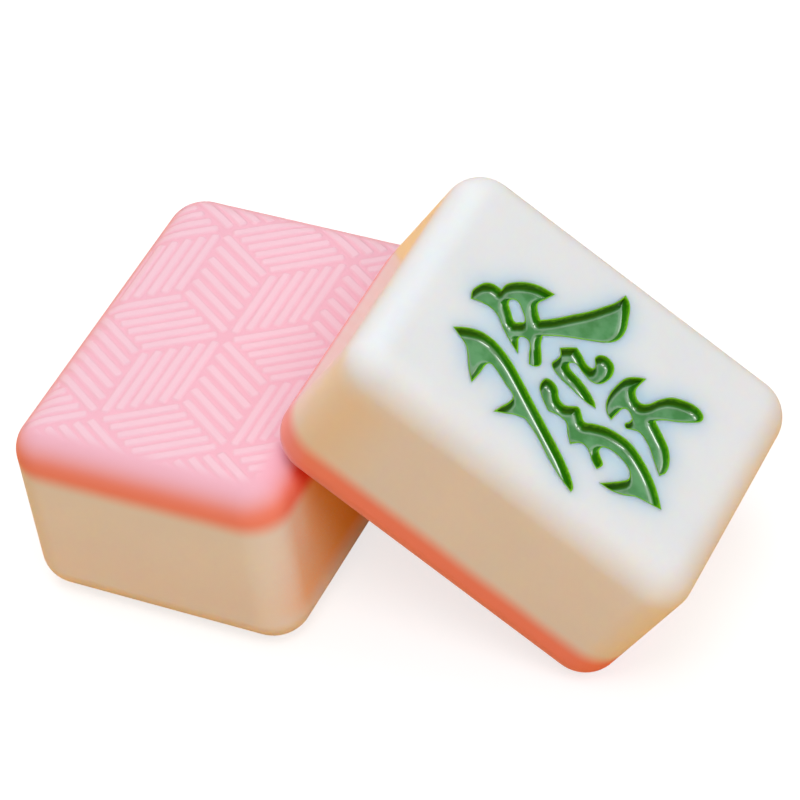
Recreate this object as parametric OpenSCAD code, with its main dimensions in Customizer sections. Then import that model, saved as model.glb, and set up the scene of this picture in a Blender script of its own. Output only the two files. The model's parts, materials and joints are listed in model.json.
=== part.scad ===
// A pair of two-tone mahjong tiles from one set. One lies face down and shows its hatched back.
// The other leans on the first tile's long edge with its engraved and painted face up.

/* [Tile] */
// Length of a tile
tile_l = 40; // [34:0.5:48]
// Width of a tile
tile_w = 30; // [25:0.5:36]
// Thickness of a tile
tile_t = 21; // [17:0.5:26]
// Radius of the edges round the face and round the back
edge_r = 3.5; // [2:0.1:5]
// How much larger the corners' radius is than that of the edges, seen in plan
corner_land = 0.5; // [0.1:0.1:3]
// Thickness of the coloured back layer
back_t = 4.6; // [3:0.1:8]

/* [Engraved figure] */
// Margin between the figure and a tile's long sides
figure_side_margin = 3; // [2:0.25:6]
// Margin between the figure and a tile's ends
figure_end_margin = 6.5; // [4:0.25:10]
// Depth of the engraving below the face
engrave_depth = 1.05; // [0.6:0.05:1.6]
// Thickness of the paint on the floor of the engraving
paint_t = 0.15; // [0.1:0.01:0.3]

/* [Back pattern] */
// Width of one leaning side of a block in the pattern
block_w = 7.25; // [5:0.25:10]
// Length of the upright edge of a block
block_edge = 9.65; // [6:0.05:13]
// Slope of the other edges of a block, in degrees
block_slope = 32; // [25:1:38]
// Bars across each side of a block
bar_count = 6; // [4:1:8]
// Width of a bar
bar_w = 0.75; // [0.4:0.05:0.8]
// Bare stretch between the end of a bar and the edge of its block
bar_end_gap = 0.5; // [0.3:0.05:1]
// Depth of the moulded ground between the bars
ground_depth = 0.12; // [0.05:0.01:0.3]
// Shift of the pattern across the tile
pattern_shift_across = 0.1; // [-3:0.1:3]
// Shift of the pattern along the tile
pattern_shift_along = 0.35; // [-3:0.05:3]

/* [Pair] */
// Angle between the leaning tile's back and the floor, in degrees
lean_angle = 36.3; // [30:0.1:48]
// Shift of the leaning tile along the flat tile's edge
lean_shift = 0.5; // [-5:0.1:5]
// Clearance between the two tiles where one leans on the other
lean_gap = 0.2; // [0.1:0.05:0.5]

/* [Hidden] */
$fn = 64;
ivory = [0.93, 0.92, 0.89];
pink = [0.96, 0.74, 0.80];
green = [0.25, 0.52, 0.30];

// Overrun of every cut past the face that it opens
overrun = 0.5;
// Chords along each stretch of a figure outline
chords = 3;
// Radius of a tile's corners, seen in plan
corner_r = edge_r + corner_land;

// Places on the figure are shares of its grid, from the middle: 240ths of its width and 270ths of its
// height. The third number is 1 at a sharp corner and 0 where the outline runs smoothly through.
figure_grid_shares = [240, 270];
figure_w = tile_w - 2 * figure_side_margin;
figure_h = tile_l - 2 * figure_end_margin;
crown_shares = [
    [-7, 130, 1], [2, 133, 0], [11, 131, 0], [19, 127, 0], [24, 120, 0], [25, 110, 1], [33, 109, 0],
    [42, 103, 0], [51, 93, 0], [57, 81, 0], [60, 64, 1], [48, 69, 0], [38, 73, 0], [30, 69, 0],
    [24, 63, 1], [36, 52, 0], [52, 40, 0], [68, 28, 0], [84, 18, 0], [100, 9, 0], [113, 5, 1],
    [107, -3, 0], [92, -9, 0], [76, -13, 0], [62, -11, 0], [52, -4, 0], [43, 8, 0], [33, 23, 0],
    [22, 39, 0], [10, 53, 1], [0, 50, 0], [-12, 43, 0], [-20, 40, 0], [-26, 44, 0], [-28, 50, 1],
    [-18, 55, 0], [-7, 60, 0], [-5, 66, 0], [-9, 71, 0], [-17, 68, 0], [-26, 64, 1], [-20, 76, 0],
    [-12, 89, 0], [-4, 99, 0], [-1, 109, 0], [-3, 121, 0]
];
window_shares = [
    [19, 98, 0], [25, 92, 0], [20, 83, 0], [11, 75, 0], [6, 79, 0], [3, 83, 0], [9, 90, 0]
];
sweep_shares = [
    [-47, 130, 1], [-38, 119, 0], [-32, 108, 0], [-30, 97, 0], [-31, 85, 0], [-37, 68, 0], [-47, 50, 0],
    [-62, 26, 0], [-78, 0, 0], [-94, -25, 0], [-106, -40, 0], [-115, -47, 0], [-120, -47, 1],
    [-114, -31, 0], [-104, -12, 0], [-91, 8, 0], [-83, 26, 1], [-87, 36, 0], [-92, 44, 0], [-99, 55, 1],
    [-88, 51, 0], [-78, 47, 0], [-70, 47, 0], [-64, 59, 0], [-55, 80, 0], [-59, 84, 0], [-72, 85, 0],
    [-87, 87, 1], [-76, 96, 0], [-62, 105, 0], [-55, 111, 0], [-50, 123, 0]
];
hook_shares = [
    [-14, 29, 0], [-9, 32, 0], [-3, 30, 0], [4, 29, 0], [11, 33, 1], [18, 26, 0], [24, 19, 1],
    [20, 11, 0], [15, 3, 0], [15, -4, 0], [20, -5, 0], [27, -1, 0], [34, -4, 0], [37, -11, 0],
    [34, -20, 0], [24, -24, 0], [12, -22, 0], [4, -17, 0], [1, -9, 0], [4, 3, 0], [7, 12, 0], [3, 17, 0],
    [-2, 14, 0], [-5, 1, 0], [-10, -12, 0], [-16, -22, 0], [-22, -27, 1], [-23, -16, 0], [-21, 1, 0],
    [-18, 19, 0]
];
wave_shares = [
    [-36, 31, 0], [-29, 29, 0], [-27, 23, 0], [-30, 15, 0], [-39, 8, 0], [-41, 0, 0], [-37, -6, 0],
    [-33, -12, 0], [-38, -18, 0], [-43, -24, 0], [-39, -31, 0], [-33, -43, 0], [-30, -56, 0],
    [-30, -72, 0], [-36, -88, 0], [-48, -107, 0], [-60, -120, 0], [-72, -130, 1], [-75, -117, 0],
    [-78, -103, 0], [-85, -92, 0], [-90, -79, 0], [-91, -66, 1], [-82, -75, 0], [-72, -84, 0],
    [-65, -88, 0], [-57, -84, 0], [-52, -73, 0], [-51, -60, 0], [-54, -52, 0], [-60, -50, 0],
    [-65, -54, 0], [-71, -60, 0], [-80, -57, 1], [-75, -49, 0], [-67, -40, 0], [-66, -32, 0],
    [-75, -23, 1], [-67, -16, 0], [-57, -9, 0], [-56, 1, 0], [-59, 11, 1], [-52, 21, 0], [-44, 29, 0]
];
foot_shares = [
    [-22, -45, 1], [-17, -37, 0], [-7, -32, 0], [6, -31, 0], [19, -33, 0], [31, -37, 0], [40, -46, 0],
    [45, -54, 1], [36, -52, 0], [26, -51, 0], [19, -55, 0], [17, -62, 0], [23, -69, 0], [34, -75, 0],
    [45, -84, 0], [52, -97, 0], [55, -111, 0], [51, -120, 0], [44, -121, 0], [36, -114, 0],
    [26, -102, 0], [17, -89, 0], [10, -82, 1], [2, -94, 0], [-7, -106, 0], [-20, -114, 0],
    [-33, -116, 0], [-41, -112, 1], [-30, -100, 0], [-19, -88, 0], [-13, -75, 0], [-16, -67, 0],
    [-19, -61, 0], [-15, -58, 0], [-10, -61, 0], [-5, -62, 1], [0, -55, 0], [-1, -50, 0], [-10, -47, 0]
];
// Wider spacing of the bars on the left side of a block, as a share of even spacing
left_spread_share = 1.07;

// Rise of a block's sloping edges over one block width, and the step from one row of blocks to the next
block_rise = block_w * tan(block_slope);
row_step = block_edge + block_rise;
// Edges of a block, along the tile first and then across it
edge_up = [block_edge, 0];
edge_right = [block_rise, block_w];
edge_left = [block_rise, -block_w];
// Columns of blocks to each side of the middle, and rows of flat sides from the blocks to each end
columns = ceil(tile_w / 2 / block_w) + 1;
end_rows = max(1, ceil((tile_l / 2 - row_step) / block_rise) + 1);

// Straight length of the leaning tile's back, and the distance between the edge axes of the two tiles
lean_run = tile_l - 2 * edge_r;
lean_reach = 2 * edge_r + lean_gap;
// Axis of the flat tile's upper long edge
stop_x = tile_w / 2 - edge_r;
stop_z = tile_t - edge_r;
// Where the leaning tile's lower edge stands if its back rests on that edge, and how far up they meet
back_x = stop_x + (lean_reach + cos(lean_angle) * (stop_z - edge_r)) / sin(lean_angle);
back_meet = (back_x - stop_x) * cos(lean_angle) + (stop_z - edge_r) * sin(lean_angle);
// Where it stands if only its upper edge rests there
lean_rise = lean_run * sin(lean_angle) + edge_r - stop_z;
lean_overhang = sqrt(max(0, lean_reach * lean_reach - lean_rise * lean_rise));
edge_x = stop_x + lean_overhang + lean_run * cos(lean_angle);
// Axis of the leaning tile's lower edge, on which it tips up
tip_x = back_meet <= lean_run ? back_x : edge_x;

function around(pts, i) = pts[(i + len(pts)) % len(pts)];
function place(share) = [
    -share[1] * figure_h / figure_grid_shares[1],
    share[0] * figure_w / figure_grid_shares[0],
    share[2]
];
function flat_point(p) = [p[0], p[1]];
function chord(a, b) = flat_point(b) - flat_point(a);
// Direction through a smooth point, from the point before it to the point after it
function through(pts, i) =
    let (d = chord(around(pts, i - 1), around(pts, i + 1)))
    d / norm(d);
// Slope of the outline where it leaves and where it reaches a point
function leaving(pts, i) =
    let (d = chord(around(pts, i), around(pts, i + 1)))
    around(pts, i)[2] == 1 ? d : through(pts, i) * norm(d);
function reaching(pts, i) =
    let (d = chord(around(pts, i - 1), around(pts, i)))
    around(pts, i)[2] == 1 ? d : through(pts, i) * norm(d);
// Cubic curve between two neighbouring points, s runs from 0 to 1
function curve(a, b, u, v, s) =
    a * (2 * pow(s, 3) - 3 * pow(s, 2) + 1) + u * (pow(s, 3) - 2 * pow(s, 2) + s)
    + b * (3 * pow(s, 2) - 2 * pow(s, 3)) + v * (pow(s, 3) - pow(s, 2));
function outline(shares) =
    let (pts = [for (share = shares) place(share)])
    [
        for (i = [0 : len(pts) - 1], k = [0 : chords - 1])
        curve(
            flat_point(pts[i]), flat_point(around(pts, i + 1)),
            leaving(pts, i), reaching(pts, i + 1), k / chords
        )
    ];

// One painted stroke group of the figure, seen from above the face
module stroke(shares, inner_shares = []) {
    difference() {
        polygon(outline(shares));
        if (len(inner_shares) > 0)
            polygon(outline(inner_shares));
    }
}

module crown() { stroke(crown_shares, window_shares); }
module sweep() { stroke(sweep_shares); }
module hook() { stroke(hook_shares); }
module wave() { stroke(wave_shares); }
module foot() { stroke(foot_shares); }

// Quarter disc that rounds an edge, with its centre at the origin
module edge_round(up) {
    intersection() {
        circle(edge_r);
        translate([0, up ? 0 : -edge_r])
            square(edge_r);
    }
}

// Half section of the tile's rim, from a corner's axis out to the side
module rim_section() {
    square([corner_land, tile_t]);
    translate([corner_land, edge_r])
        square([edge_r, tile_t - 2 * edge_r]);
    translate([corner_land, tile_t - edge_r])
        edge_round(true);
    translate([corner_land, edge_r])
        edge_round(false);
}

// Straight stretch of the rim along one side, run long, with the side at distance reach from the middle
module rim_side(run, reach) {
    translate([reach - corner_r, run / 2, 0])
        rotate([90, 0, 0])
            linear_extrude(run)
                rim_section();
}

// The whole tile with every edge rounded, its back on the floor and its face up
module tile_form() {
    inner_l = tile_l - 2 * corner_r;
    inner_w = tile_w - 2 * corner_r;
    translate([-inner_l / 2, -inner_w / 2, 0])
        cube([inner_l, inner_w, tile_t]);
    for (turn = [0, 180])
        rotate(turn) {
            rim_side(inner_w, tile_l / 2);
            rotate(90)
                rim_side(inner_l, tile_w / 2);
            translate([inner_l / 2, inner_w / 2, 0])
                rotate_extrude(angle = 90)
                    rim_section();
            translate([-inner_l / 2, inner_w / 2, 0])
                rotate(90)
                    rotate_extrude(angle = 90)
                        rim_section();
        }
}

// Slab of the tile's full plan between two heights
module layer(low, high) {
    translate([-tile_l / 2 - overrun, -tile_w / 2 - overrun, low])
        cube([tile_l + 2 * overrun, tile_w + 2 * overrun, high - low]);
}

// Bars across one side of a block: along is the bars' own edge, across the edge that they are stacked on
module block_side(corner, along, across, spread_share) {
    lead = along / norm(along);
    aside = [-lead[1], lead[0]] * bar_w / 2;
    for (k = [0 : bar_count - 1]) {
        step = 0.5 + (k + 0.5 - bar_count / 2) / bar_count * spread_share;
        tail = corner + across * step + lead * bar_end_gap;
        tip = corner + across * step + along - lead * bar_end_gap;
        polygon([tail - aside, tip - aside, tip + aside, tail + aside]);
    }
}

// The two upright sides of a block, above the foot where they meet
module upright_sides(foot) {
    block_side(foot, edge_up, edge_right, 1);
    block_side(foot, edge_left, edge_up, left_spread_share);
}

// A flat side of a block, above its lowest corner, with its bars towards the right or the left edge
module flat_side(corner, rightward) {
    if (rightward)
        block_side(corner, edge_right, edge_left, 1);
    else
        block_side(corner, edge_left, edge_right, 1);
}

// Two rows of blocks across the middle, then rows of flat sides whose bars turn from row to row
module bars() {
    for (i = [-columns : columns]) {
        middle = [pattern_shift_along, i * block_w + pattern_shift_across];
        odd = i % 2 != 0;
        upright_sides(middle - [odd ? row_step : 0, 0]);
        if (odd)
            flat_side(middle - [block_rise, 0], true);
        for (m = [0 : end_rows])
            if ((i + m) % 2 == 0) {
                flat_side(middle + [row_step + (m - 1) * block_rise, 0], m % 2 == 0);
                flat_side(middle - [row_step + (m + 1) * block_rise, 0], m % 2 == 0);
            }
    }
}

// Sunk ground between the bars
module ground() {
    difference() {
        square([tile_l + 2 * overrun, tile_w + 2 * overrun], center = true);
        bars();
    }
}

module face_block() {
    difference() {
        intersection() {
            tile_form();
            layer(back_t, tile_t + overrun);
        }
        translate([0, 0, tile_t - engrave_depth])
            linear_extrude(engrave_depth + overrun) {
                crown();
                sweep();
                hook();
                wave();
                foot();
            }
    }
}

module back_layer() {
    difference() {
        intersection() {
            tile_form();
            layer(-overrun, back_t);
        }
        translate([0, 0, -overrun])
            linear_extrude(overrun + ground_depth)
                ground();
    }
}

// Paint on the floor of one stroke group
module paint() {
    translate([0, 0, tile_t - engrave_depth])
        linear_extrude(paint_t)
            children();
}

// Face down on the floor, long edges along Y
module lie_flat() {
    translate([0, 0, tile_t])
        rotate([180, 0, 90])
            children();
}

// Face up, standing on its lower edge and leaning on the flat tile's long edge
module lean() {
    translate([tip_x, lean_shift, edge_r])
        rotate([0, lean_angle, 0])
            translate([edge_r - tile_l / 2, 0, -edge_r])
                children();
}

module flat_face_block() { color(ivory) lie_flat() face_block(); }
module flat_back_layer() { color(pink) lie_flat() back_layer(); }
module flat_paint_crown() { color(green) lie_flat() paint() crown(); }
module flat_paint_sweep() { color(green) lie_flat() paint() sweep(); }
module flat_paint_hook() { color(green) lie_flat() paint() hook(); }
module flat_paint_wave() { color(green) lie_flat() paint() wave(); }
module flat_paint_foot() { color(green) lie_flat() paint() foot(); }
module leaning_face_block() { color(ivory) lean() face_block(); }
module leaning_back_layer() { color(pink) lean() back_layer(); }
module leaning_paint_crown() { color(green) lean() paint() crown(); }
module leaning_paint_sweep() { color(green) lean() paint() sweep(); }
module leaning_paint_hook() { color(green) lean() paint() hook(); }
module leaning_paint_wave() { color(green) lean() paint() wave(); }
module leaning_paint_foot() { color(green) lean() paint() foot(); }

flat_face_block();
flat_back_layer();
flat_paint_crown();
flat_paint_sweep();
flat_paint_hook();
flat_paint_wave();
flat_paint_foot();
leaning_face_block();
leaning_back_layer();
leaning_paint_crown();
leaning_paint_sweep();
leaning_paint_hook();
leaning_paint_wave();
leaning_paint_foot();
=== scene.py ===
import json
import math

import bpy
import numpy as np
from mathutils import Matrix, Vector
from mathutils.geometry import delaunay_2d_cdt
from mathutils.kdtree import KDTree


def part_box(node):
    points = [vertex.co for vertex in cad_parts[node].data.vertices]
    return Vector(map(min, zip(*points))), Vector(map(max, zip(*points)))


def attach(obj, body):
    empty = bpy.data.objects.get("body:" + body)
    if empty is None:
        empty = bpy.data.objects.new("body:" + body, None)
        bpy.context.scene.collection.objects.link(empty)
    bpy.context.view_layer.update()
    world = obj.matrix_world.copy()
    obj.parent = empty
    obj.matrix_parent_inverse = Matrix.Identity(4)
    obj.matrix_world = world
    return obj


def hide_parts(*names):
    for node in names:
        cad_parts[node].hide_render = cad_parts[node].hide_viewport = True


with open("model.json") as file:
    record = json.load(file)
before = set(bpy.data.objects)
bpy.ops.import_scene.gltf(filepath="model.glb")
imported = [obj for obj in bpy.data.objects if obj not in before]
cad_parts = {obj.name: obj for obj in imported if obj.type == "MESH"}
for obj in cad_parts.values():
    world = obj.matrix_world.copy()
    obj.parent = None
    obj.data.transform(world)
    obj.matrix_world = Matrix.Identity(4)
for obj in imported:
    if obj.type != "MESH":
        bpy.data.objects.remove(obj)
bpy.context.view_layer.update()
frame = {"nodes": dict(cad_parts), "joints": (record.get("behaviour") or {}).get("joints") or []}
mm = 0.001
print("frame loaded with", len(frame["nodes"]), "nodes")


# tile sizes in mm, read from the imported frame
blockLow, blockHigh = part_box("flat_face_block")
backLow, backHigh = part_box("flat_back_layer")
paintLow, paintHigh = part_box("flat_paint_crown")
tipUp = frame["joints"][0]
tile = {
    "length": (blockHigh.y - blockLow.y) / mm,
    "width": (blockHigh.x - blockLow.x) / mm,
    "thick": (backHigh.z - blockLow.z) / mm,
    "seam": (backHigh.z - backLow.z) / mm,  # height above the back at which the two resins meet
    "edgeR": tipUp["pos_m"][2] / mm,  # the tile tips on the axis of its own edge rounding
    "cornerLand": 0.5,  # the corners are this much rounder in plan than the edges
    "paintTop": paintLow.z / mm,  # depths below the face
    "pocket": paintHigh.z / mm,
    "lean": math.radians(90 - tipUp["range_deg"][1]),
}
cornerR = tile["edgeR"] + tile["cornerLand"]
cornerAt = np.array([tile["length"], tile["width"]]) / 2 - cornerR

# a tile is drawn with its long side along x, its back at z 0 and its face up
faceDown = Matrix(((0, 1, 0), (1, 0, 0), (0, 0, -1))).to_4x4()
onEdge = Matrix.Translation((tile["edgeR"] * mm - tile["length"] * mm / 2, 0, -tile["edgeR"] * mm))
spots = {
    "flat": Matrix.Translation((0, 0, tile["thick"] * mm)) @ faceDown,
    "leaning": Matrix.Translation(tipUp["pos_m"]) @ Matrix.Rotation(tile["lean"], 4, "Y") @ onEdge,
}
strokes = ("crown", "sweep", "hook", "wave", "foot")


# camera, fitted to the outlines of both tiles in the 800 x 800 frame
shot = {
    "aim": (19.134, 0.336, 18.0),
    "distance": 416.53,
    "azimuth": 32.571,
    "elevation": 43.670,
    "roll": -10.045,
    "lens": 190.92,
    "sensor": 36.0,
}


def setCamera():
    data = bpy.data.cameras.new("camera")
    data.lens = shot["lens"]
    data.sensor_width = shot["sensor"]
    data.clip_start = 0.01
    camera = bpy.data.objects.new("camera", data)
    bpy.context.scene.collection.objects.link(camera)
    azimuth, elevation = math.radians(shot["azimuth"]), math.radians(shot["elevation"])
    back = Vector((
        math.sin(azimuth) * math.cos(elevation),
        -math.cos(azimuth) * math.cos(elevation),
        math.sin(elevation),
    ))
    level = Vector((math.cos(azimuth), math.sin(azimuth), 0))
    basis = Matrix((level, back.cross(level), back)).transposed()
    turned = basis @ Matrix.Rotation(math.radians(shot["roll"]), 3, "Z")
    camera.matrix_world = (
        Matrix.Translation((Vector(shot["aim"]) + back * shot["distance"]) * mm) @ turned.to_4x4()
    )
    bpy.context.scene.camera = camera


setCamera()
print("camera set")


# plan of the tile and its rounded rim
rim = {
    "cornerSteps": 14,
    "sideSteps": 30,
    "archSteps": 14,
    "capInset": 2.5,  # the caps take over inside this ring
}


def insetOf(xy):  # distance in from the tile's outline
    past = np.abs(xy) - cornerAt
    return cornerR - np.hypot(*np.maximum(past, 0).T) - np.minimum(past.max(1), 0)


def edgeDrop(xy):  # how far the rounded edge lies below the flat
    short = np.clip(tile["edgeR"] - insetOf(xy), 0, tile["edgeR"])
    return tile["edgeR"] - np.sqrt(tile["edgeR"] ** 2 - short**2)


def outlineRing(inset):  # points of the outline at an inset, and their outward directions
    points, outward = [], []
    signs = ((1, 1), (-1, 1), (-1, -1), (1, -1))
    for k, sign in enumerate(signs):
        here, after = cornerAt * sign, cornerAt * signs[(k + 1) % 4]
        for step in range(rim["cornerSteps"] + 1):
            angle = math.pi / 2 * (k + step / rim["cornerSteps"])
            out = np.array([math.cos(angle), math.sin(angle)])
            points.append(here + out * (cornerR - inset))
            outward.append(out)
        for step in range(1, rim["sideSteps"]):
            share = step / rim["sideSteps"]
            points.append(here * (1 - share) + after * share + out * (cornerR - inset))
            outward.append(out)
    return np.array(points), np.array(outward)


def rimProfile(low, capInset):  # insets, heights and normal tilts from a height up to the cap
    last = math.acos((tile["edgeR"] - capInset) / tile["edgeR"])
    top = tile["thick"] - tile["edgeR"]
    steps = [(0, low + (top - low) * k / 4, 0) for k in range(4)]
    for k in range(rim["archSteps"] + 1):
        tilt = last * k / rim["archSteps"]
        steps.append((tile["edgeR"] * (1 - math.cos(tilt)), top + tile["edgeR"] * math.sin(tilt), tilt))
    return steps


class Shell:  # one closed piece in the making, in mm
    def __init__(self):
        self.points, self.normals, self.faces, self.smooth = [], [], [], []
        self.count = 0

    def add(self, points, normals, faces, smooth=True):
        self.points.append(np.asarray(points, float))
        self.normals.append(np.asarray(normals, float))
        self.faces += [[i + self.count for i in face] for face in faces]
        self.smooth += [smooth] * len(faces)
        self.count += len(points)

    def addRim(self, profile, flip=False):  # flip turns a face rim into a back rim
        rings, normals = [], []
        for inset, height, tilt in profile:
            ring, outward = outlineRing(inset)
            z = tile["thick"] - height if flip else height
            rings.append(np.column_stack([ring, np.full(len(ring), z)]))
            up = math.sin(tilt) * (-1 if flip else 1)
            normals.append(np.column_stack([outward * math.cos(tilt), np.full(len(ring), up)]))
        n = len(rings[0])
        faces = []
        for r in range(len(rings) - 1):
            for k in range(n):
                a, b = r * n + k, r * n + (k + 1) % n
                faces.append([a, a + n, b + n, b] if flip else [a, b, b + n, a + n])
        self.add(np.vstack(rings), np.vstack(normals), faces)

    def addFlat(self, points, z, faces, up):  # flat triangles at one height
        faces = faces if up else faces[:, ::-1]
        normal = np.tile([0, 0, 1 if up else -1], (len(points), 1))
        self.add(np.column_stack([points, np.full(len(points), z)]), normal, faces.tolist(), smooth=False)

    def weld(self, attributes):  # attributes maps a name to a function of the points
        points = np.vstack(self.points)
        _, first, where = np.unique(np.round(points, 4), axis=0, return_index=True, return_inverse=True)
        self.points, self.normals = points[first], np.vstack(self.normals)[first]
        faces = [[int(where.ravel()[i]) for i in face] for face in self.faces]
        whole = [len(set(face)) == len(face) for face in faces]
        self.smooth = [soft for soft, keep in zip(self.smooth, whole) if keep]
        self.faces = [face for face, keep in zip(faces, whole) if keep]
        self.values = {key: rule(self.points).astype(np.float32) for key, rule in attributes.items()}
        return self

    def mesh(self, name, spot):  # the piece at its place in the frame
        turn, shift = np.array(spots[spot].to_3x3()), np.array(spots[spot].translation)
        mesh = bpy.data.meshes.new(name)
        mesh.from_pydata((self.points * mm @ turn.T + shift).tolist(), [], self.faces)
        mesh.polygons.foreach_set("use_smooth", [True] * len(self.faces))
        normals = (self.normals @ turn.T).tolist()
        corners = []
        for polygon, soft in zip(mesh.polygons, self.smooth):
            flat = polygon.normal[:]
            corners += [normals[i] if soft else flat for i in polygon.vertices]
        mesh.normals_split_custom_set(corners)
        layer = mesh.attributes.new("tilePoint", "FLOAT_VECTOR", "POINT")
        layer.data.foreach_set("vector", self.points.astype(np.float32).ravel())
        for key, values in self.values.items():
            layer = mesh.attributes.new(key, "FLOAT", "POINT")
            layer.data.foreach_set("value", values)
        return mesh


def slopes(height, xy, step=0.005):  # gradient of a height function of the plan
    across = [height(xy + d) - height(xy - d) for d in (np.array([step, 0]), np.array([0, step]))]
    return np.column_stack(across) / (2 * step)


def unit(vectors):
    return vectors / np.linalg.norm(vectors, axis=1)[:, None]


def triangulate(points, edges):  # constrained triangles over all the points, counter-clockwise
    found = delaunay_2d_cdt([Vector(p) for p in points], edges, [], 0, 1e-6)
    verts = np.array([v[:] for v in found[0]])
    faces = np.array(found[2])
    a, b, c = (verts[faces[:, k]] for k in range(3))
    area = np.cross(b - a, c - a)
    faces = np.where(area[:, None] < 0, faces[:, ::-1], faces)
    return verts, faces[np.abs(area) > 1e-7]


def chainEdges(loops):  # edges that close each loop, when the loops are stacked in order
    edges, start = [], 0
    for loop in loops:
        edges += [(start + k, start + (k + 1) % len(loop)) for k in range(len(loop))]
        start += len(loop)
    return edges


class Outline:  # closed loops that bound an area, holes run the other way
    def __init__(self, loops):
        self.loops = loops
        self.points = np.vstack(loops)
        self.ahead = np.vstack([np.roll(loop, -1, 0) for loop in loops])
        self.behind = np.vstack([np.roll(loop, 1, 0) for loop in loops])
        self.edges = chainEdges(loops)
        self.tree = KDTree(len(self.points))
        for k, (x, y) in enumerate(self.points):
            self.tree.insert((x, y, 0), k)
        self.tree.balance()

    def gap(self, xy):  # distance from points to the nearest loop
        near = np.array([self.tree.find((x, y, 0))[1] for x, y in xy])
        start = self.points[near]
        best = np.full(len(xy), 1e9)
        for end in (self.ahead[near], self.behind[near]):
            d = end - start
            share = np.clip(((xy - start) * d).sum(1) / np.maximum((d * d).sum(1), 1e-12), 0, 1)
            best = np.minimum(best, np.hypot(*(xy - start - share[:, None] * d).T))
        return best

    def holds(self, xy):  # even-odd test
        odd = np.zeros(len(xy), bool)
        for (ax, ay), (bx, by) in zip(self.points, self.ahead):
            if ay != by:
                crosses = (xy[:, 1] < ay) != (xy[:, 1] < by)
                odd ^= crosses & (xy[:, 0] < ax + (xy[:, 1] - ay) * (bx - ax) / (by - ay))
        return odd

    def grown(self, offset):  # outline points moved outwards, or inwards for a negative offset
        along = unit(self.ahead - self.behind)
        moved = self.points + np.column_stack([along[:, 1], -along[:, 0]]) * offset
        clear = self.gap(moved) > abs(offset) * 0.92
        return moved[clear & (self.holds(moved) == (offset < 0))]


def hexGrid(step):  # staggered points over the tile's plan
    rows = np.arange(-tile["width"] / 2, tile["width"] / 2, step * math.sqrt(3) / 2)
    columns = np.arange(-tile["length"] / 2, tile["length"] / 2, step)
    return np.array([(x + step / 2 * (k % 2), y) for k, y in enumerate(rows) for x in columns])


# outlines of the engraved figure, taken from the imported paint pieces
figure = {
    "step": 0.13,  # spacing of outline points
    "cornerTurn": math.radians(38),  # sharper turns stay corners
    "lip": 0.03,  # the mouth is eased by this much
    "lipWidth": 0.12,
    "lipRun": 0.13,  # paint lies nearly flat on the mouth for this far
    "lipDrop": 0.03,
    "wall": 0.52,  # from the lip to the foot of the wall
    "wallPower": 2.1,
    "rings": (0.05, 0.09, 0.13, 0.16, 0.2, 0.25, 0.31, 0.38, 0.46, 0.55, 0.64),
    "floorGrid": 0.35,
    "shadeStep": 0.35,  # spacing of the points that stand for the paint
    "shadeReach": 1.3,  # how far the painted shade around the paint reaches into the ivory
}


def strokeLoops(node):  # boundary of the paint's upper face, in tile coordinates
    mesh = frame["nodes"][node].data
    toTile = spots["flat"].inverted()
    points = np.array([(toTile @ v.co)[:] for v in mesh.vertices]) / mm
    top = points[:, 2] > points[:, 2].max() - 1e-3
    keys = [tuple(p) for p in np.round(points[:, :2], 3)]
    edges = set()
    for polygon in mesh.polygons:
        if all(top[i] for i in polygon.vertices):
            around = [keys[i] for i in polygon.vertices]
            edges |= {(a, b) for a, b in zip(around, around[1:] + around[:1])}
    after = {a: b for a, b in edges if (b, a) not in edges}
    loops = []
    while after:
        first = min(after)
        loop, here = [], first
        while here in after:
            loop.append(here)
            here = after.pop(here)
        loops.append(smoothLoop(np.array(loop)))
    return loops


def smoothLoop(points):  # cubic curve through the points, broken at corners
    ahead = np.roll(points, -1, 0) - points
    behind = points - np.roll(points, 1, 0)
    turn = np.arccos(np.clip((unit(ahead) * unit(behind)).sum(1), -1, 1))
    through = unit(ahead + behind)
    smooth = []
    n = len(points)
    for k in range(n):
        after = (k + 1) % n
        run = np.linalg.norm(ahead[k])
        leave = ahead[k] if turn[k] > figure["cornerTurn"] else through[k] * run
        reach = ahead[k] if turn[after] > figure["cornerTurn"] else through[after] * run
        pieces = max(1, round(run / figure["step"]))
        for s in np.arange(pieces) / pieces:
            smooth.append(
                points[k] * (2 * s**3 - 3 * s**2 + 1) + leave * (s**3 - 2 * s**2 + s)
                + points[after] * (3 * s**2 - 2 * s**3) + reach * (s**3 - s**2)
            )
    return np.array(smooth)


strokeOutlines = {stroke: Outline(strokeLoops("flat_paint_" + stroke)) for stroke in strokes}
figureOutline = Outline([loop for outline in strokeOutlines.values() for loop in outline.loops])
print("figure outlines:", len(figureOutline.loops), "loops,", len(figureOutline.points), "points")


def faceSink(xy):  # depth of the ivory face below its flat
    gap = np.where(figureOutline.holds(xy), 0, figureOutline.gap(xy))
    ease = np.clip(1 - gap / figure["lipWidth"], 0, 1) ** 2
    return edgeDrop(xy) + figure["lip"] * ease


def paintShare(xy):  # how much of the plan around a point is painted, weighed by a bell curve; it places the painted shade around the engraving
    step, reach = figure["shadeStep"], figure["shadeReach"]
    cells = hexGrid(step)
    cells = cells[figureOutline.holds(cells)]
    share = np.zeros(len(xy))
    for cell in cells:
        share += np.exp(-((xy - cell) ** 2).sum(1) / (2 * reach ** 2))
    return share * step ** 2 * math.sqrt(3) / 2 / (2 * math.pi * reach ** 2)


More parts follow.
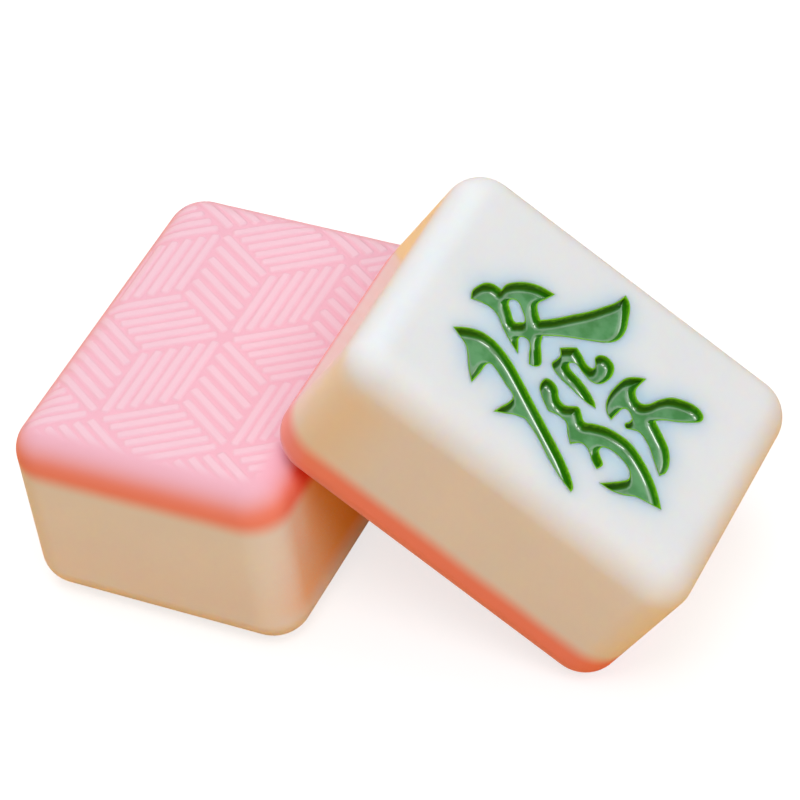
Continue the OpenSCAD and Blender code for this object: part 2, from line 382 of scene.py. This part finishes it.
def ivoryBlock():
    shell = Shell()
    shell.addRim(rimProfile(tile["seam"], rim["capInset"]))
    edge = outlineRing(rim["capInset"])[0]
    around = [figureOutline.grown(figure["lipWidth"] * share) for share in (0.5, 1, 2)]
    grid = hexGrid(0.7)
    grid = grid[insetOf(grid) > rim["capInset"] + 0.3]
    grid = grid[(figureOutline.gap(grid) > 0.45) & ~figureOutline.holds(grid)]
    points = np.vstack([edge, figureOutline.points, *around, grid])
    verts, faces = triangulate(points, chainEdges([edge, *figureOutline.loops]))
    cut = figureOutline.holds(verts[faces].mean(1))
    sink = faceSink(verts)
    tilt = slopes(faceSink, verts)
    normals = unit(np.column_stack([tilt, np.ones(len(verts))]))
    shell.add(np.column_stack([verts, tile["thick"] - sink]), normals, faces[~cut].tolist())
    bottom = tile["thick"] - tile["pocket"]
    shell.addFlat(verts, bottom, faces[cut], True)
    addWalls(shell, figureOutline, faceSink, bottom, False)
    seam = outlineRing(0)[0]
    seamVerts, seamFaces = triangulate(seam, chainEdges([seam]))
    shell.addFlat(seamVerts, tile["seam"], seamFaces, False)
    return shell.weld({"paintShare": lambda p: paintShare(p[:, :2])})


def addWalls(shell, outline, sink, bottom, outward):  # upright walls along the loops
    for loop in outline.loops:
        n = len(loop)
        upper = np.column_stack([loop, tile["thick"] - sink(loop)])
        lower = np.column_stack([loop, np.full(n, bottom)])
        faces = []
        for k in range(n):
            a, b = k, (k + 1) % n
            faces.append([a, a + n, b + n, b] if outward else [a, b, b + n, a + n])
        shell.add(np.vstack([upper, lower]), np.zeros((2 * n, 3)), faces, smooth=False)


def paintStroke(stroke):
    outline = strokeOutlines[stroke]

    def trough(xy):  # a thin lip, then round walls that run into a flat floor
        gap = outline.gap(xy)
        lip = figure["lip"] + figure["lipDrop"] * np.clip(gap / figure["lipRun"], 0, 1)
        near = np.clip((gap - figure["lipRun"]) / figure["wall"], 0, 1)
        power = figure["wallPower"]
        wall = (1 - (1 - near) ** power) ** (1 / power)
        return lip + (tile["paintTop"] - lip) * wall

    inner = [outline.grown(-offset) for offset in figure["rings"]]
    grid = hexGrid(figure["floorGrid"])
    grid = grid[outline.holds(grid)]
    grid = grid[outline.gap(grid) > figure["rings"][-1] + 0.05]
    verts, faces = triangulate(np.vstack([outline.points, *inner, grid]), outline.edges)
    faces = faces[outline.holds(verts[faces].mean(1))]
    shell = Shell()
    normals = unit(np.column_stack([slopes(trough, verts, 0.01), np.ones(len(verts))]))
    shell.add(np.column_stack([verts, tile["thick"] - trough(verts)]), normals, faces.tolist())
    bottom = tile["thick"] - tile["pocket"]
    under, underFaces = triangulate(outline.points, outline.edges)
    underFaces = underFaces[outline.holds(under[underFaces].mean(1))]
    shell.addFlat(under, bottom, underFaces, False)
    addWalls(shell, outline, trough, bottom, True)
    return shell.weld({
        "rimGap": lambda p: outline.gap(p[:, :2]),
        # walls that face the tile's foot
        "upperWall": lambda p: np.tanh(slopes(trough, p[:, :2], 0.02)[:, 0]),
    })


# moulded hatch on the back
hatch = {
    "blockW": 7.25,
    "blockEdge": 9.65,
    "slope": math.radians(32),
    "bars": 6,
    "barW": 0.84,
    "endGap": 0.46,
    "shift": (0.35, 0.1),  # along, across
    "leftSpread": 1.07,
    "depth": 0.13,
    "bevel": 0.17,
    "barCorner": 0.28,
    "fieldShift": (0.45, -0.8),  # the pattern's field sits off the middle
    "fade": (1.7, 3.0),  # insets in the field between which the relief grows
    "capInset": 0.6,
    "edgeRings": (0.8, 1.05, 1.35, 1.7, 2.1, 2.55, 3.05, 3.5),
    "barStep": 0.9,
}


def hatchBars():  # middle, direction and half length of every bar
    rise = hatch["blockW"] * math.tan(hatch["slope"])
    up = np.array([hatch["blockEdge"], 0])
    right = np.array([rise, hatch["blockW"]])
    left = np.array([rise, -hatch["blockW"]])
    row = hatch["blockEdge"] + rise
    found = []

    def side(corner, along, across, spread=1):
        for k in range(hatch["bars"]):
            step = 0.5 + (k + 0.5 - hatch["bars"] / 2) / hatch["bars"] * spread
            run = np.linalg.norm(along)
            found.append((corner + across * step + along / 2, along / run, run / 2 - hatch["endGap"]))

    columns = math.ceil(tile["width"] / 2 / hatch["blockW"]) + 1
    endRows = math.ceil((tile["length"] / 2 - row) / rise) + 1
    for i in range(-columns, columns + 1):
        middle = np.array([hatch["shift"][0], hatch["shift"][1] + i * hatch["blockW"]])
        foot = middle - [row * (i % 2), 0]
        side(foot, up, right)
        side(foot, left, up, hatch["leftSpread"])
        if i % 2:
            side(middle - [rise, 0], right, left)
        for m in range(endRows + 1):
            if (i + m) % 2 == 0:
                edges = (right, left) if m % 2 == 0 else (left, right)
                side(middle + [row + (m - 1) * rise, 0], *edges)
                side(middle - [row + (m + 1) * rise, 0], *edges)
    reach = np.array([tile["length"], tile["width"]]) / 2 + hatch["blockW"]
    return [bar for bar in found if (np.abs(bar[0]) < reach).all()]


bars = hatchBars()


def barShare(xy):  # 1 on top of a bar and 0 on the ground
    best = np.full(len(xy), 1e9)
    size = hatch["barW"] / 2 - hatch["barCorner"]
    for middle, lead, half in bars:
        local = np.abs(np.column_stack([(xy - middle) @ lead, (xy - middle) @ [-lead[1], lead[0]]]))
        past = local - [half - hatch["barCorner"], size]
        gap = np.hypot(*np.maximum(past, 0).T) + np.minimum(past.max(1), 0) - hatch["barCorner"]
        best = np.minimum(best, gap)
    s = np.clip(0.5 - best / (2 * hatch["bevel"]), 0, 1)
    return s * s * (3 - 2 * s)


def reliefFade(xy):
    low, high = hatch["fade"]
    s = np.clip((insetOf(xy - np.array(hatch["fieldShift"])) - low) / (high - low), 0, 1)
    return s * s * (3 - 2 * s)


def backSink(xy):  # depth of the back's surface inside its flat
    return edgeDrop(xy) + hatch["depth"] * reliefFade(xy) * (1 - barShare(xy))


def barRing(bar, offset):  # outline of a bar, grown by an offset
    middle, lead, half = bar
    aside = np.array([-lead[1], lead[0]])
    radius = hatch["barCorner"] + offset
    long = half - hatch["barCorner"]
    wide = hatch["barW"] / 2 - hatch["barCorner"]
    ring = []
    for k, (sx, sy) in enumerate(((1, 1), (-1, 1), (-1, -1), (1, -1))):
        for step in range(4):
            angle = math.pi / 2 * (k + step / 3)
            ring.append((sx * long + radius * math.cos(angle), sy * wide + radius * math.sin(angle)))
        if k % 2 == 0:
            pieces = max(2, round(2 * long / hatch["barStep"]))
            for step in range(1, pieces):
                x = sx * long * (1 - 2 * step / pieces)
                ring.append((x, sy * (wide + radius)))
    return middle + np.array(ring) @ np.array([lead, aside])


def pinkBack():
    shell = Shell()
    shell.addRim(rimProfile(tile["thick"] - tile["seam"], hatch["capInset"]), flip=True)
    edge = outlineRing(hatch["capInset"])[0]
    points, edges = [edge], chainEdges([edge])
    start = len(edge)
    for bar in bars:
        for offset in (-hatch["bevel"], 0, hatch["bevel"]):
            ring = barRing(bar, offset)
            kept = insetOf(ring) > hatch["capInset"] + 0.05
            index = np.cumsum(kept) - 1 + start
            n = len(ring)
            edges += [
                (int(index[k]), int(index[(k + 1) % n])) for k in range(n) if kept[k] and kept[(k + 1) % n]
            ]
            points.append(ring[kept])
            start += int(kept.sum())
    points += [outlineRing(inset)[0] for inset in hatch["edgeRings"]]
    grid = hexGrid(0.9)
    points.append(grid[insetOf(grid) > hatch["edgeRings"][-1] + 0.3])
    verts, faces = triangulate(np.vstack(points), edges)
    normals = unit(np.column_stack([slopes(backSink, verts), -np.ones(len(verts))]))
    shell.add(np.column_stack([verts, backSink(verts)]), normals, faces[:, ::-1].tolist())
    seam = outlineRing(0)[0]
    seamVerts, seamFaces = triangulate(seam, chainEdges([seam]))
    shell.addFlat(seamVerts, tile["seam"], seamFaces, True)

    def barTop(points):  # 1 on the bars of the back, 0 elsewhere
        onBack = points[:, 2] < tile["edgeR"]
        return barShare(points[:, :2]) * reliefFade(points[:, :2]) * onBack

    return shell.weld({"barTop": barTop})


# shader wiring
class Wire:  # a socket that takes part in sums
    def __init__(self, tree, socket=None):
        self.tree, self.socket = tree, socket

    def node(self, kind, settings=None, inputs=None, out=0):
        made = self.tree.nodes.new(kind)
        for key, value in (settings or {}).items():
            setattr(made, key, value)
        for key, value in (inputs or {}).items():
            if isinstance(value, Wire):
                self.tree.links.new(value.socket, made.inputs[key])
            else:
                made.inputs[key].default_value = value
        return Wire(self.tree, made.outputs[out] if made.outputs else None)

    def maths(self, operation, a, b=0.0):
        return self.node("ShaderNodeMath", {"operation": operation}, {0: a, 1: b})

    def __add__(self, other):
        return self.maths("ADD", self, other)

    def __sub__(self, other):
        return self.maths("SUBTRACT", self, other)

    def __rsub__(self, other):
        return self.maths("SUBTRACT", other, self)

    def __mul__(self, other):
        return self.maths("MULTIPLY", self, other)

    def __truediv__(self, other):
        return self.maths("DIVIDE", self, other)

    __radd__ = __add__
    __rmul__ = __mul__

    def smooth(self, low, high):  # 0 below low, 1 above high
        return self.node(
            "ShaderNodeMapRange",
            {"interpolation_type": "SMOOTHSTEP"},
            {"Value": self, "From Min": low, "From Max": high},
        )

    def mix(self, a, b):  # colours a to b by this value
        return self.node(
            "ShaderNodeMix", {"data_type": "RGBA"}, {0: self, 6: paint(a), 7: paint(b)}, out=2
        )


def paint(colour):  # an sRGB triple as a linear colour, wires pass through
    if isinstance(colour, Wire):
        return colour
    return (*[c / 12.92 if c <= 0.04045 else ((c + 0.055) / 1.055) ** 2.4 for c in colour], 1)


def newMaterial(name):
    material = bpy.data.materials.new(name)
    material.use_nodes = True
    tree = material.node_tree
    tree.nodes.clear()
    return material, Wire(tree)


def finishMaterial(wire, shader):
    wire.node("ShaderNodeOutputMaterial", None, {"Surface": shader})


def tilePoint(wire):  # place on the tile in mm
    return wire.node("ShaderNodeAttribute", {"attribute_name": "tilePoint"}, out=1)


def noise(wire, point, scale, detail=2.0, roughness=0.5):
    return wire.node(
        "ShaderNodeTexNoise", None,
        {"Vector": point, "Scale": scale, "Detail": detail, "Roughness": roughness},
    )


def attribute(wire, name):
    return wire.node("ShaderNodeAttribute", {"attribute_name": name}, out=2)


resin = {
    "ivory": (0.925, 0.934, 0.942),
    "ivoryCloud": (0.914, 0.925, 0.935),
    "ivoryPaintedShade": (0.765, 0.868, 0.925),  # painted shade, cooler and darker near the engraving
    "shadeFull": 0.55,  # share of paint around a point that gives the full painted shade
    "ivoryPaintedWarmLight": (0.940, 0.888, 0.795),  # painted warm reflected light on the sides at the leaning tile's raised end
    "raisedEnd": (-19.5, -9.0),  # places along the tile between which that end fades out, in mm
    "raisedCoat": 0.75,  # the raised end mirrors the other tile
    "coatRough": 0.12,
    "pink": (0.968, 0.728, 0.788),
    # painted light and shade: the bars lighter, the ground between them darker
    "pinkBar": (0.975, 0.800, 0.846),
    # painted shade and glow: the pink turns coral down its rounded sides
    "coral": (0.985, 0.580, 0.510),
    "coralRise": {"flat": (0.25, 2.6), "leaning": (0.7, 3.4)},  # heights above the back between which the painted coral shade sets in, in mm
    "blendAt": {"flat": 4.2, "leaning": 5.6},  # where the two tones meet half-way
    "blendWidth": 2.6,
    "blendWander": 0.6,
    "cloudScale": 0.09,
    "cloudShare": (0.35, 0.7),
    "ivoryPaintedGapShade": (0.990, 0.680, 0.240),  # painted shade and bounce light: deeper warm tones in narrow gaps
    "pinkPaintedGapShade": (0.960, 0.180, 0.030),
    "gapReach": 30,  # mm
    "gapShare": (0.15, 0.62),  # open share of the sky between which the painted gap shade fades out
    "backEnd": (0.7, 2.0),  # heights between which the sides begin
    "faceStart": (15.0, 19.0),  # and end
    "gloss": 0.15,
    "grainDepth": 0.2,  # mm
    "glowDepth": 1.6,  # how far light wanders inside the ivory, in mm
    "glowTint": (1.0, 0.75, 0.55),
    "glowRise": (0.8, 3.5),  # heights above the seam between which the glow sets in
    # roughness from and by, the scale it varies at, grain scale and strength
    "ivoryFinish": {"rough": 0.36, "spread": 0.1, "scale": 0.16, "grain": 0.7, "strength": 0.03},
    "pinkFinish": {"rough": 0.44, "spread": 0.12, "scale": 0.22, "grain": 0.9, "strength": 0.05},
}


def heightAboveBack(wire):
    return wire.node("ShaderNodeSeparateXYZ", None, {0: tilePoint(wire)}, out=2)


def tileTone(wire, spot):  # the two resins run into each other near their seam
    height = heightAboveBack(wire)
    cloud = noise(wire, tilePoint(wire), resin["cloudScale"], 3.0)
    ivory = cloud.smooth(*resin["cloudShare"]).mix(resin["ivory"], resin["ivoryCloud"])
    # painted shade: the ivory turns cooler and darker where the engraving is near
    shade = attribute(wire, "paintShare") / resin["shadeFull"]
    ivory = shade.mix(ivory, resin["ivoryPaintedShade"])
    # painted light on the raised bars, painted shade in the grooves
    pink = attribute(wire, "barTop").mix(resin["pink"], resin["pinkBar"])
    # painted shade and glow, coral on the pink's rounded sides
    pink = height.smooth(*resin["coralRise"][spot]).mix(pink, resin["coral"])
    if spot == "leaning":
        # painted warm reflected light on the sides of the raised end
        ivory = raisedEnd(wire).mix(ivory, resin["ivoryPaintedWarmLight"])
    if spot == "flat":
        # painted shade: sides in the narrow gap under the other tile turn deep orange and red
        narrow = gapShadeMask(wire)
        ivory = narrow.mix(ivory, resin["ivoryPaintedGapShade"])
        pink = narrow.mix(pink, resin["pinkPaintedGapShade"])
    middle, width = resin["blendAt"][spot], resin["blendWidth"]
    wander = (cloud - 0.5) * resin["blendWander"]
    return (height + wander).smooth(middle - width / 2, middle + width / 2).mix(pink, ivory)


def flank(wire):  # 1 on the sides, 0 on the face and the back
    height = heightAboveBack(wire)
    return height.smooth(*resin["backEnd"]) * (1 - height.smooth(*resin["faceStart"]))


def raisedEnd(wire):  # 1 on the sides at the end that leans highest
    along = wire.node("ShaderNodeSeparateXYZ", None, {0: tilePoint(wire)})
    return flank(wire) * (1 - along.smooth(*resin["raisedEnd"]))


def gapShadeMask(wire):  # 1 on sides that face the other tile closely, read from ambient occlusion; it places the painted gap shade
    reach = resin["gapReach"] * mm
    sky = wire.node("ShaderNodeAmbientOcclusion", {"samples": 8}, {"Distance": reach}, out=1)
    return flank(wire) * (1 - sky.smooth(*resin["gapShare"]))


def bump(wire, height, strength):
    depth = resin["grainDepth"] * mm
    return wire.node("ShaderNodeBump", None, {"Strength": strength, "Distance": depth, "Height": height})


def resinLook(wire, spot, finish):
    point = tilePoint(wire)
    return {
        "Base Color": tileTone(wire, spot),
        "Roughness": finish["rough"] + finish["spread"] * noise(wire, point, finish["scale"], 3.0),
        "Specular IOR Level": resin["gloss"],
        "Coat Weight": raisedEnd(wire) * resin["raisedCoat"] if spot == "leaning" else 0.0,
        "Coat Roughness": resin["coatRough"],
        "Normal": bump(wire, noise(wire, point, finish["grain"], 2.0), finish["strength"]),
    }


def ivoryResin(spot):
    material, wire = newMaterial("ivoryResin_" + spot)
    look = resinLook(wire, spot, resin["ivoryFinish"])
    plain = wire.node("ShaderNodeBsdfPrincipled", None, look)
    glowing = wire.node("ShaderNodeBsdfPrincipled", None, {
        **look,
        "Subsurface Weight": 1.0,
        "Subsurface Radius": resin["glowTint"],
        "Subsurface Scale": resin["glowDepth"] * mm,
    })
    low, high = (tile["seam"] + rise for rise in resin["glowRise"])
    depth = heightAboveBack(wire).smooth(low, high)
    finishMaterial(wire, wire.node("ShaderNodeMixShader", None, {0: depth, 1: plain, 2: glowing}))
    return material


def pinkResin(spot):
    material, wire = newMaterial("pinkResin_" + spot)
    look = resinLook(wire, spot, resin["pinkFinish"])
    finishMaterial(wire, wire.node("ShaderNodeBsdfPrincipled", None, look))
    return material


enamel = {
    # the floor's lighter, bluer green is partly a painted reflection of the sky
    "floor": (0.400, 0.635, 0.420),
    "floorDeep": (0.285, 0.545, 0.290),
    "poolScale": 0.45,
    "poolShare": (0.35, 0.65),
    # painted shade: the walls darker green than the floor, the upper walls darker olive
    "wall": (0.170, 0.480, 0.030),
    "upperWall": (0.190, 0.410, 0.040),
    "upperTilt": (0.15, 0.6),
    "wallEnd": (0.34, 0.72),  # distances in from the outline, in mm, between which the painted wall shade gives way to the floor
    "rim": (0.460, 0.760, 0.050),
    "rimEnd": (0.09, 0.2),
    "rimWander": 0.05,
    "rimScale": 2.5,
    "shineFrom": (0.22, 0.42),
    "shineTo": (0.6, 0.85),
    "dullTilt": (0.02, 0.25),  # the upper walls stay dull
    "coatIor": 2.1,
}


def greenEnamel():
    material, wire = newMaterial("greenEnamel")
    point = tilePoint(wire)
    pool = noise(wire, point, enamel["poolScale"], 3.0)
    gap = attribute(wire, "rimGap")
    upper = attribute(wire, "upperWall")
    wander = (noise(wire, point, enamel["rimScale"], 2.0) - 0.5) * (2 * enamel["rimWander"])
    floor = pool.smooth(*enamel["poolShare"]).mix(enamel["floor"], enamel["floorDeep"])
    # painted shade on the walls, darker still on the upper walls
    wall = upper.smooth(*enamel["upperTilt"]).mix(enamel["wall"], enamel["upperWall"])
    body = gap.smooth(*enamel["wallEnd"]).mix(wall, floor)
    foot = gap.smooth(*enamel["shineFrom"]) * (1 - gap.smooth(*enamel["shineTo"]))  # shines most
    finishMaterial(wire, wire.node("ShaderNodeBsdfPrincipled", None, {
        "Base Color": (gap + wander).smooth(*enamel["rimEnd"]).mix(enamel["rim"], body),
        "Roughness": 0.16 + 0.1 * pool,
        "Specular IOR Level": 0.2,
        "Coat Weight": foot * (1 - upper.smooth(*enamel["dullTilt"])),
        "Coat Roughness": 0.05,
        "Coat IOR": enamel["coatIor"],
        "Normal": bump(wire, pool, 0.1),
    }))
    return material


studio = {
    "table": (0.99, 0.765, 0.46),  # warm table top, as the tiles see it
    "zenith": (0.63, 0.655, 0.665),
    "horizon": (0.40, 0.25, 0.12),
    "skyRise": (0.0, 0.6),  # heights between which the sky goes from horizon to zenith
    "floorTone": 0.4,
    "floorGlow": 0.72,
    "lights": {  # where they hang, distance and size in metres, level on a facing white surface
        "topBox": {
            "toward": (-0.1, 0.15, 1), "away": 0.9, "size": (0.9, 0.9),
            "level": 0.262, "tint": (0.94, 0.965, 1),
        },
        "leftBox": {
            "toward": (-0.5, 0.4, 0.75), "away": 0.9, "size": (0.7, 0.7),
            "level": 0.14, "tint": (1, 0.97, 0.94),
        },
        "lowLeft": {
            "toward": (-1, 0.2, 0.3), "away": 0.8, "size": (0.6, 0.4),
            "level": 0.14, "tint": (1, 0.68, 0.36),
        },
        "rightBox": {
            "toward": (0.75, 0.2, 0.65), "away": 0.9, "size": (0.7, 0.7),
            "level": 0.05, "tint": (0.9, 0.96, 1),
        },
        "glint": {  # draws the bright lines in the paint
            "toward": (0.61, -0.36, 0.69), "away": 0.65, "size": (0.42, 0.12),
            "level": 0.17, "tint": (1, 1, 1),
        },
        "highGlint": {  # the same for the strokes that run down the face
            "toward": (0.22, -0.29, 0.93), "away": 0.65, "size": (0.42, 0.2),
            "level": 0.245, "tint": (1, 1, 1),
        },
        "card": {
            "toward": (0.5, -0.8, 0.2), "away": 0.6, "size": (0.5, 0.5),
            "level": 0.035, "tint": (1, 0.80, 0.62),
        },
    },
}


def softLight(name, light):
    data = bpy.data.lights.new(name, "AREA")
    data.shape = "ELLIPSE"
    data.size, data.size_y = light["size"]
    data.energy = light["level"] * (math.pi * light["away"]) ** 2
    data.color = paint(light["tint"])[:3]
    lamp = bpy.data.objects.new(name, data)
    bpy.context.scene.collection.objects.link(lamp)
    toward = Vector(light["toward"]).normalized()
    lamp.location = Vector(shot["aim"]) * mm + toward * light["away"]
    lamp.rotation_mode = "QUATERNION"
    lamp.rotation_quaternion = toward.to_track_quat("Z", "Y")


def seenBy(wire, *kinds):  # 1 for rays of these kinds
    path = wire.node("ShaderNodeLightPath").socket.node
    rays = [Wire(wire.tree, path.outputs[f"Is {kind} Ray"]) for kind in kinds]
    return wire.maths("MINIMUM", sum(rays[1:], rays[0]), 1.0)


def setWorld():
    world = bpy.data.worlds.new("studio")
    bpy.context.scene.world = world
    world.use_nodes = True
    world.node_tree.nodes.clear()
    wire = Wire(world.node_tree)
    height = wire.node("ShaderNodeSeparateXYZ", None, {0: wire.node("ShaderNodeTexCoord")}, out=2)
    sky = height.smooth(*studio["skyRise"]).mix(studio["horizon"], studio["zenith"])
    clear = seenBy(wire, "Camera", "Glossy", "Transmission")
    shader = wire.node("ShaderNodeBackground", None, {"Color": clear.mix(sky, (1, 1, 1))})
    wire.node("ShaderNodeOutputWorld", None, {"Surface": shader})


def setFloor():
    mesh = bpy.data.meshes.new("floor")
    count, radius = 96, 3.0
    turns = [2 * math.pi * k / count for k in range(count)]
    ring = [(radius * math.cos(t), radius * math.sin(t), 0) for t in turns]
    mesh.from_pydata(ring, [], [list(range(count))])
    floor = bpy.data.objects.new("floor", mesh)
    bpy.context.scene.collection.objects.link(floor)
    material, wire = newMaterial("paleFloor")
    warm = wire.node("ShaderNodeBsdfDiffuse", None, {"Color": paint(studio["table"])})
    tone, glow = studio["floorTone"], studio["floorGlow"]
    pale = wire.node("ShaderNodeBsdfDiffuse", None, {"Color": (tone, tone, tone, 1)})
    light = wire.node("ShaderNodeEmission", None, {"Color": (1, 1, 1, 1), "Strength": glow})
    white = wire.node("ShaderNodeAddShader", None, {0: pale, 1: light})
    clear = seenBy(wire, "Camera", "Transmission")
    finishMaterial(wire, wire.node("ShaderNodeMixShader", None, {0: clear, 1: warm, 2: white}))
    mesh.materials.append(material)


def place(shell, name, spot, material, node):
    piece = bpy.data.objects.new(name, shell.mesh(name, spot))
    bpy.context.scene.collection.objects.link(piece)
    piece.data.materials.append(material)
    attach(piece, spot + "_tile")
    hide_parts(node)


block = ivoryBlock()
print("ivory block:", len(block.faces), "faces")
back = pinkBack()
print("pink back:", len(back.faces), "faces")
paints = {stroke: paintStroke(stroke) for stroke in strokes}
print("paint:", sum(len(shell.faces) for shell in paints.values()), "faces")
green = greenEnamel()
for spot in spots:
    place(block, spot + "_ivory_block", spot, ivoryResin(spot), spot + "_face_block")
    place(back, spot + "_pink_back", spot, pinkResin(spot), spot + "_back_layer")
    for stroke in strokes:
        place(paints[stroke], f"{spot}_{stroke}", spot, green, f"{spot}_paint_{stroke}")
print("pieces placed")
for name, light in studio["lights"].items():
    softLight(name, light)
setWorld()
setFloor()
bpy.context.scene.view_settings.view_transform = "Standard"
print("studio set")
